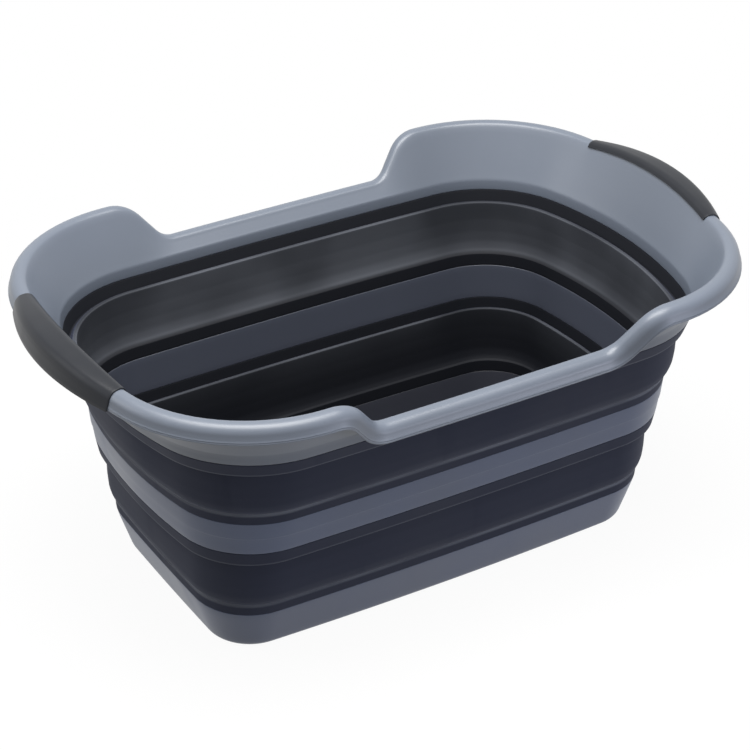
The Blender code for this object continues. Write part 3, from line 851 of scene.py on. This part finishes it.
def band_section(sizes, lower_wall, lower_edge, upper_wall, upper_edge, panel_half):
    """Cross-section of a soft band: strip, grooved hinge, bulging panel, ledge and strip."""
    hinge = lower_edge + sizes.strip
    low_half = on_wall(lower_wall, hinge, 0)[0]
    skirt_half, high = upper_wall[0]
    bottom, top = lower_edge + GAP, upper_edge - GAP
    slot = sizes.tongue_height + GAP
    panel = [(low_half + (panel_half - low_half) * wide, hinge + (high - hinge) * tall)
             for tall, wide in PANEL_SHAPE_SHARES]
    inside = [(half - sizes.panel_wall, height) for half, height in reversed(panel)]
    neck = low_half - sizes.groove_depth
    ledge_top = high + sizes.panel_wall + GAP
    ledge = on_wall(upper_wall, ledge_top, sizes.rigid_wall)[0] - panel_half + sizes.panel_wall
    bead_top = ledge_top + sizes.ledge_rise
    bead_foot, bead_near, bead_far = (panel_half - sizes.panel_wall + ledge * part
                                      for part in BEAD_EDGE_SHARES)
    return divided(rounded([
        (*on_wall(lower_wall, bottom, 0), sizes.edge_round / 2),
        (*on_wall(lower_wall, hinge - sizes.groove_height, 0), sizes.soft_round),
        (neck, hinge - sizes.groove_height / 2, sizes.soft_round / 2),
        (low_half + sizes.groove_depth / 2, hinge + sizes.groove_height / 2, sizes.soft_round / 2),
        *with_radius(panel, PANEL_ROUND),
        (panel_half, high - GAP, sizes.soft_round / 2),
        (skirt_half, high, sizes.soft_round),
        (*on_wall(upper_wall, top, 0), sizes.edge_round / 2),
        *with_radius(tongue(upper_wall, top, upper_edge - slot, GAP), 0),
        (*on_wall(upper_wall, top, sizes.rigid_wall), sizes.edge_round / 2),
        (*on_wall(upper_wall, ledge_top, sizes.rigid_wall), sizes.edge_round),
        (bead_foot, ledge_top, sizes.ridge_round),
        (bead_near, bead_top, sizes.ridge_round),
        (bead_far, bead_top, sizes.ridge_round * BEAD_ROUND_SHARE),
        *with_radius(inside, PANEL_ROUND),
        (low_half - sizes.panel_wall * HINGE_INSIDE_SHARE, hinge + sizes.groove_depth, sizes.soft_round),
        (*on_wall(lower_wall, hinge, sizes.rigid_wall), sizes.edge_round),
        (*on_wall(lower_wall, bottom, sizes.rigid_wall), sizes.edge_round / 2),
        *with_radius(reversed(tongue(lower_wall, bottom, lower_edge + slot, GAP)), 0),
    ], True), True, BAND_ROW)


class TUB_OT_folding_bands(bpy.types.Operator):
    """Build the two soft bands between the rigid stages"""
    bl_idname = "tub.folding_bands"
    bl_label = "Folding Bands"

    def execute(self, context):
        sizes, looks = context.scene.tub_sizes, context.scene.tub_looks
        base, ring, collar = stage_walls(sizes)
        bands = (
            ("lower_band", "lower_fold", "base", "middle", base, BASE_TOP, ring, RING_LOW,
             sizes.lower_panel_half),
            ("upper_band", "upper_fold", "middle", "rim", ring, RING_TOP, collar, COLLAR_LOW,
             sizes.upper_panel_half),
        )
        for name, node, below, above, lower_wall, lower_edge, upper_wall, upper_edge, half in bands:
            section = band_section(sizes, lower_wall, lower_edge, upper_wall, upper_edge, half)
            hinge = lower_edge + sizes.strip
            ledge = upper_wall[0][1]
            band = sweep_wall(name, section, True, band_rubber(),
                              (looks.waviness, hinge, ledge, half + sizes.panel_wall))
            close_up(band)
            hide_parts(node)
            ledge + sizes.panel_wall
            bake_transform(band)
        return {"FINISHED"}


def smooth_path(points):
    """A smooth curve through the points, as rows of numbers."""
    points = np.array(points, dtype=float)
    padded = np.vstack([2 * points[0] - points[1], points, 2 * points[-1] - points[-2]])
    path = []
    for place in range(len(points) - 1):
        before, first, last, after = padded[place:place + 4]
        for cut in range(LIP_CUTS):
            t = cut / LIP_CUTS
            path.append(0.5 * (2 * first + (last - before) * t
                               + (2 * before - 5 * first + 4 * last - after) * t ** 2
                               + (3 * first - before - 3 * last + after) * t ** 3))
    return np.array(path + [points[-1]])


def moved_out(path, distance):
    """A path across the lip moved square to itself, outwards where the distance is positive."""
    along = np.gradient(path, axis=0)
    square = np.stack([along[:, 1], -along[:, 0]], axis=1)
    return path + square / np.linalg.norm(square, axis=1)[:, None] * distance


def lip_path(lip):
    """The lip's outer face from its flange's foot over its top to its inner edge, out and up."""
    points = [(lip.outer + lip.flange_kick, -lip.flange_drop)]
    for kick_share, drop_share in LIP_FLANGE_SHARES:
        points.append((lip.outer + lip.flange_kick * kick_share, lip.flange_drop * drop_share))
    for out_share, up_share in LIP_TOP_SHARES:
        reach = lip.outer if out_share > 0 else lip.inner
        points.append((reach * out_share, lip.crown * up_share))
    return smooth_path(points)


def step_fall(lip, x, start):
    """How far the lip stands below its high level, at distances x from the middle of a side."""
    bends = (lip.step_top + lip.step_foot) * (1 - math.cos(lip.step_slope))
    top_run = lip.step_top * math.sin(lip.step_slope)
    slope_run = (lip.side_drop - bends) / math.tan(lip.step_slope)
    foot_run = lip.step_foot * math.sin(lip.step_slope)
    done = np.clip(start - np.abs(x), 0, top_run + slope_run + foot_run)
    left = top_run + slope_run + foot_run - done
    upper = lip.step_top - np.sqrt(lip.step_top ** 2 - np.minimum(done, top_run) ** 2)
    lower = lip.side_drop - lip.step_foot + np.sqrt(lip.step_foot ** 2 - np.minimum(left, foot_run) ** 2)
    middle = lip.step_top * (1 - math.cos(lip.step_slope)) + (done - top_run) * math.tan(lip.step_slope)
    return np.where(done < top_run, upper, np.where(left < foot_run, lower, middle))


class LipFrames:
    """The lip's middle, outward and upward directions and handle share, at each station."""

    def __init__(self, centre, out, up, handle):
        self.centre, self.out, self.up, self.handle = centre, out, up, handle

    def at(self, lip, path):
        """Points of a path in the lip's section, at every station: stations by points by three."""
        first, last = (lip.outer * along for along in SWELL_SHARES)
        swell = np.clip((path[:, 0] - first) / (last - first), 0, 1)
        drop = np.clip(-path[:, 1] / lip.flange_drop, 0, 1)
        outward = path[:, 0] + np.outer(self.handle, swell * lip.handle_swell)
        upward = path[:, 1] - np.outer(self.handle, drop * lip.handle_drop)
        return (self.centre[:, None] + self.out[:, None] * outward[:, :, None]
                + self.up[:, None] * upward[:, :, None])


def wall_points(piece, places):
    """A swept wall's points as stations by places by three."""
    flat = np.empty(len(piece.data.vertices) * 3)
    piece.data.vertices.foreach_get("co", flat)
    return flat.reshape(-1, places, 3)


def round_trip(points):
    """The direction along a closed row of points at each of them."""
    return np.roll(points, -1, axis=0) - np.roll(points, 1, axis=0)


def lip_frames(lip, sizes):
    """Frames along the lip's middle, read from a thin guide wall that is then removed."""
    high = COLLAR_LOW + sizes.collar_band + sizes.collar_flare
    guide = sweep_wall("lip_guide", [(sizes.lip_half, high), (sizes.lip_half, high + GAP)], False,
                       collar_plastic())
    middle = wall_points(guide, 2)[:, 0].copy()
    mesh = guide.data
    bpy.data.objects.remove(guide)
    bpy.data.meshes.remove(mesh)
    along = round_trip(middle)
    out = np.stack([along[:, 1], -along[:, 0], np.zeros(len(along))], axis=1)
    out /= np.linalg.norm(out, axis=1)[:, None]
    start = middle[END_FLATS + CORNER_FLATS, 0] - lip.step_to_corner
    fall = step_fall(lip, middle[:, 0], start)
    in_handle = (np.abs(middle[:, 1]) < lip.grip_half) & (np.abs(middle[:, 0]) > start)
    handle = np.where(in_handle, 1 - (middle[:, 1] / lip.grip_half) ** 2, 0)
    centre = middle - out * (lip.step_in * fall / lip.side_drop)[:, None]
    centre[:, 2] += lip.handle_rise * handle - fall
    up = np.cross(out, round_trip(centre))
    return LipFrames(centre, out, up / np.linalg.norm(up, axis=1)[:, None], handle)


def lerp_rows(first, last, shares):
    """Rows of points between two rows, at shares of the way."""
    shares = np.array(shares)[None, :, None]
    return first[:, None] * (1 - shares) + last[:, None] * shares


def foot_path(inner, outer):
    """The flange's rounded foot, from its inner corner to its outer one, both left out."""
    middle = (inner + outer) / 2
    across = (outer - inner) / 2
    down = np.array([across[1], -across[0]])
    if down[1] > 0:
        down = -down
    turns = np.linspace(0, math.pi, FOOT_FLATS + 1)[1:-1]
    return np.array([middle - across * math.cos(turn) + down * math.sin(turn) * FOOT_ROUND_SHARE
                     for turn in turns])


def lined_foot(lip, face):
    """The lip's face with a fine line pressed into it just above the flange's foot."""
    first, above = face[0], face[LIP_CUTS]
    kick = (above[0] - first[0]) / (above[1] - first[1])
    line = [(first[0] + kick * lip.foot_line * up - lip.foot_line_depth * deep,
             first[1] + lip.foot_line * up) for up, deep in FOOT_LINE_SHARES]
    clear = lip.foot_line * FOOT_LINE_SHARES[-1][0] * FOOT_LINE_CLEAR_SHARE
    return np.vstack([line, face[face[:, 1] + lip.flange_drop > clear]])


class TUB_OT_rim_collar(bpy.types.Operator):
    """Build the flared collar with its rolled, stepped lip"""
    bl_idname = "tub.rim_collar"
    bl_label = "Rim Collar"

    def execute(self, context):
        sizes, lip = context.scene.tub_sizes, context.scene.lip_sizes
        wall = stage_walls(sizes)[2]
        break_height = wall[2][1]
        frames = lip_frames(lip, sizes)

        middle = (*on_wall(wall, COLLAR_LOW, sizes.rigid_wall / 2), 0)
        outer_band = rounded([middle, (*on_wall(wall, COLLAR_LOW, 0), sizes.edge_round),
                              (*on_wall(wall, break_height, 0), 0)], False)[1:]
        inner_band = rounded([(*on_wall(wall, break_height, sizes.rigid_wall), 0),
                              (*on_wall(wall, break_height - sizes.edge_round, sizes.rigid_wall), 0),
                              (*on_wall(wall, COLLAR_LOW, sizes.rigid_wall), sizes.edge_round),
                              middle], False)[:-1]
        outer_band, inner_band = (divided(band, False, WALL_ROW) for band in (outer_band, inner_band))
        down = tongue(wall, COLLAR_LOW, COLLAR_LOW - sizes.tongue_height)[::-1]
        face = lip_path(lip)
        under = moved_out(face, -lip.wall)[::-1]
        around = np.vstack([under, foot_path(under[-1], face[0]), lined_foot(lip, face)])
        slots = len(around) + 2 * len(FLARE_ROW_SHARES)
        high = break_height + sizes.collar_flare
        section = outer_band + [(sizes.lip_half, high)] * slots + inner_band + down
        collar = sweep_wall("collar_shell", section, True, collar_plastic())
        grid = wall_points(collar, len(section))
        lips = frames.at(lip, around)
        start, end = len(outer_band), len(outer_band) + slots
        shoulder = grid[:, end] + frames.out * lip.shoulder + Vector((0, 0, lip.shoulder / 2))
        falling = [1 - done for done in reversed((0.0, *FLARE_ROW_SHARES[1:]))]
        grid[:, start:end] = np.concatenate([
            lerp_rows(grid[:, start - 1], lips[:, 0], FLARE_ROW_SHARES), lips,
            lerp_rows(lips[:, -1], shoulder, falling)], axis=1)
        near, past = end - BEND_ROWS, end + BEND_ROWS
        for _ in range(BEND_ROUNDS):
            bend = grid[:, near - 1:past + 1]
            grid[:, near:past] = (bend[:, :-2] + bend[:, 1:-1] * 2 + bend[:, 2:]) / 4
        collar.data.vertices.foreach_set("co", grid.ravel())
        close_up(collar)
        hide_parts("rim_collar")
        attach(collar, "rim")
        return {"FINISHED"}


class TUB_OT_grips(bpy.types.Operator):
    """Build the two soft grips over the lip's handles"""
    bl_idname = "tub.grips"
    bl_label = "Grips"

    def execute(self, context):
        sizes, lip = context.scene.tub_sizes, context.scene.lip_sizes
        frames = lip_frames(lip, sizes)
        for side, node, name in ((-1, "grip_left", "left_grip"), (1, "grip_right", "right_grip")):
            grip = add_piece(name, grip_mesh(lip, frames, side, name), grip_rubber())
            close_up(grip)
            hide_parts(node)
            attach(grip, "rim")
        return {"FINISHED"}


def grip_mesh(lip, frames, side, name):
    """A sleeve over the lip at one end, hooked round the flange's foot, with rounded ends."""
    held = (frames.centre[:, 0] > 0) & (np.abs(frames.centre[:, 1]) < GRIP_PAST_SHARE * lip.grip_half)
    order = np.argsort(frames.centre[held, 1])
    span = frames.centre[held, 1][order]
    end_bend = lip.grip_wall
    bend = end_bend * (1 - np.cos(np.linspace(0, math.pi / 2, GRIP_END_ROWS)))
    reach = lip.grip_half + GAP
    straight = reach - 2 * end_bend
    rows = np.concatenate([bend - reach, np.linspace(-straight, straight, GRIP_ROWS), reach - bend[::-1]])
    along = [np.stack([np.interp(rows, span, values[held][order][:, axis]) for axis in range(3)], axis=1)
             for values in (frames.centre, frames.out, frames.up)]
    picked = LipFrames(*along, np.clip(1 - (rows / lip.grip_half) ** 2, 0, 1))

    face = lip_path(lip)
    inner, bed, skin = (moved_out(face, away) for away in (-lip.wall - GAP, GAP, GAP + lip.grip_wall))
    foot_x, hook_x, bed_x = inner[0, 0], inner[HOOK_POINT, 0], bed[0, 0]
    foot = inner[0, 1] - GAP
    hook, sole = foot + lip.grip_hook, foot - lip.grip_wall
    inside = np.vstack([[(hook_x, hook), (foot_x, foot), (bed_x, foot)], bed[1:]])
    outside = np.vstack([skin[:0:-1], [(skin[0, 0], sole), (foot_x - lip.grip_wall, sole),
                                       (hook_x - lip.grip_wall, hook)]])
    match = np.vstack([bed[:0:-1], [(bed_x, foot), (foot_x, foot), (hook_x, hook)]])
    near, far, close = (picked.at(lip, path) for path in (inside, outside, match))
    from_end = np.minimum(rows + reach, reach - rows)
    swelling = np.sqrt(1 - (1 - np.clip(from_end / end_bend, 0, 1)) ** 2)
    thick = GRIP_END_SHARE + (1 - GRIP_END_SHARE) * swelling
    grid = np.concatenate([near, close + (far - close) * thick[:, None, None]], axis=1)
    grid[:, :, 0] *= side
    work = bmesh.new()
    lines = [[work.verts.new(point) for point in row] for row in grid]
    for first, last in zip(lines, lines[1:]):
        for place in range(len(first)):
            after = (place + 1) % len(first)
            work.faces.new((first[place], first[after], last[after], last[place]))
    return new_mesh(name, work)


class TUB_OT_stage(bpy.types.Operator):
    """Set up the camera, the soft lamps, the pale floor and the white background"""
    bl_idname = "tub.stage"
    bl_label = "Stage"

    def execute(self, context):
        looks = context.scene.stage_looks
        lens = bpy.data.cameras.new("camera")
        lens.lens = looks.lens
        lens.sensor_width = SENSOR
        camera = add_object("camera", lens)
        turn, rise = looks.azimuth, looks.elevation
        back = Vector((math.sin(turn) * math.cos(rise), -math.cos(turn) * math.cos(rise), math.sin(rise)))
        right = Vector((math.cos(turn), math.sin(turn), 0))
        frame_of = Matrix((right, back.cross(right), back)).transposed()
        camera.matrix_world = Matrix.Translation(looks.place) @ frame_of.to_4x4()
        context.scene.camera = camera

        for name, power, tint, size, place in LAMPS:
            light = bpy.data.lights.new(name, "AREA")
            light.shape = "RECTANGLE"
            light.size, light.size_y = size
            light.color = tint
            light.energy = getattr(looks, power)
            lamp = add_object(name, light)
            lamp.location = place
            lamp.rotation_euler = (Vector(LAMP_AIM) - lamp.location).to_track_quat("-Z", "Y").to_euler()

        context.scene.world = studio_world(looks)
        context.scene.view_settings.view_transform = "Standard"
        floor = add_piece("floor", floor_mesh(), floor_finish(looks))
        return {"FINISHED"}


def seen_rays(tree):
    """1 for the camera's rays and those in reflections and through clear pieces, or else 0."""
    path = add_node(tree, "ShaderNodeLightPath")
    camera, glossy, through = (Field(tree, path.outputs[ray])
                               for ray in ("Is Camera Ray", "Is Glossy Ray", "Is Transmission Ray"))
    return camera.math("MAXIMUM", glossy).math("MAXIMUM", through)


def studio_world(looks):
    """A white world to the camera and in reflections, and an even fill light otherwise."""
    world = bpy.data.worlds.new("studio")
    world.use_nodes = True
    tree = world.node_tree
    even, seen = tree.nodes["Background"], add_node(tree, "ShaderNodeBackground")
    for light, strength in ((even, looks.fill), (seen, looks.white)):
        feed(tree, light, {"Color": (1, 1, 1, 1), "Strength": strength})
    lights = {0: seen_rays(tree), 1: even.outputs[0], 2: seen.outputs[0]}
    mix = add_node(tree, "ShaderNodeMixShader", lights)
    feed(tree, tree.nodes["World Output"], {"Surface": mix.outputs[0]})
    return world


def floor_mesh():
    """A wide flat floor."""
    work = bmesh.new()
    bmesh.ops.create_grid(work, x_segments=1, y_segments=1, size=FLOOR_HALF)
    return new_mesh("floor", work)


def floor_finish(looks):
    """A matt floor, white in view and in reflections, that keeps the tub's shadow close to it."""
    finish = bpy.data.materials.new("floor_white")
    finish.use_nodes = True
    tree = finish.node_tree
    seen = seen_rays(tree)
    tone = mixed(tree, seen, (looks.floor_tone,) * 3, (looks.white,) * 3)
    shader = tree.nodes["Principled BSDF"]
    feed(tree, shader, {"Base Color": tone, "Roughness": FLOOR_ROUGH, "Specular IOR Level": 0})
    place = add_node(tree, "ShaderNodeTexCoord").outputs["Object"]
    away = add_node(tree, "ShaderNodeVectorMath", {0: place}, operation="LENGTH")
    lift = Field(tree, away.outputs["Value"]).over(*FLOOR_FADE) * (1 - looks.floor_lift) + looks.floor_lift
    white = add_node(tree, "ShaderNodeEmission")
    shades = {0: lift * seen, 1: shader.outputs[0], 2: white.outputs[0]}
    mix = add_node(tree, "ShaderNodeMixShader", shades)
    feed(tree, tree.nodes["Material Output"], {"Surface": mix.outputs[0]})
    return finish


class TUB_PT_panel(bpy.types.Panel):
    """Buttons that build the tub piece by piece"""
    bl_idname = "TUB_PT_panel"
    bl_label = "Collapsible Tub"
    bl_space_type = "VIEW_3D"
    bl_region_type = "UI"
    bl_category = "Tub"

    def draw(self, context):
        for operator in OPERATORS:
            self.layout.operator(operator.bl_idname)
        for group, kind in GROUPS.items():
            column = self.layout.column()
            for name in kind.__annotations__:
                column.prop(getattr(context.scene, group), name)


GROUPS = {"tub_sizes": TubSizes, "lip_sizes": LipSizes, "tub_looks": TubLooks, "stage_looks": StageLooks}
OPERATORS = (TUB_OT_base_tray, TUB_OT_middle_ring, TUB_OT_folding_bands, TUB_OT_rim_collar, TUB_OT_grips,
             TUB_OT_stage)


def register():
    """Registers the classes and puts the settings on the scene."""
    for each in (*GROUPS.values(), *OPERATORS, TUB_PT_panel):
        bpy.utils.register_class(each)
    for name, group in GROUPS.items():
        setattr(bpy.types.Scene, name, PointerProperty(type=group))


def unregister():
    """Takes the settings and the classes away again."""
    for name in GROUPS:
        delattr(bpy.types.Scene, name)
    for each in reversed((*GROUPS.values(), *OPERATORS, TUB_PT_panel)):
        bpy.utils.unregister_class(each)


def main():
    register()
    for operator in OPERATORS:
        family, name = operator.bl_idname.split(".")
        getattr(getattr(bpy.ops, family), name)()


if __name__ == "__main__":
    main()
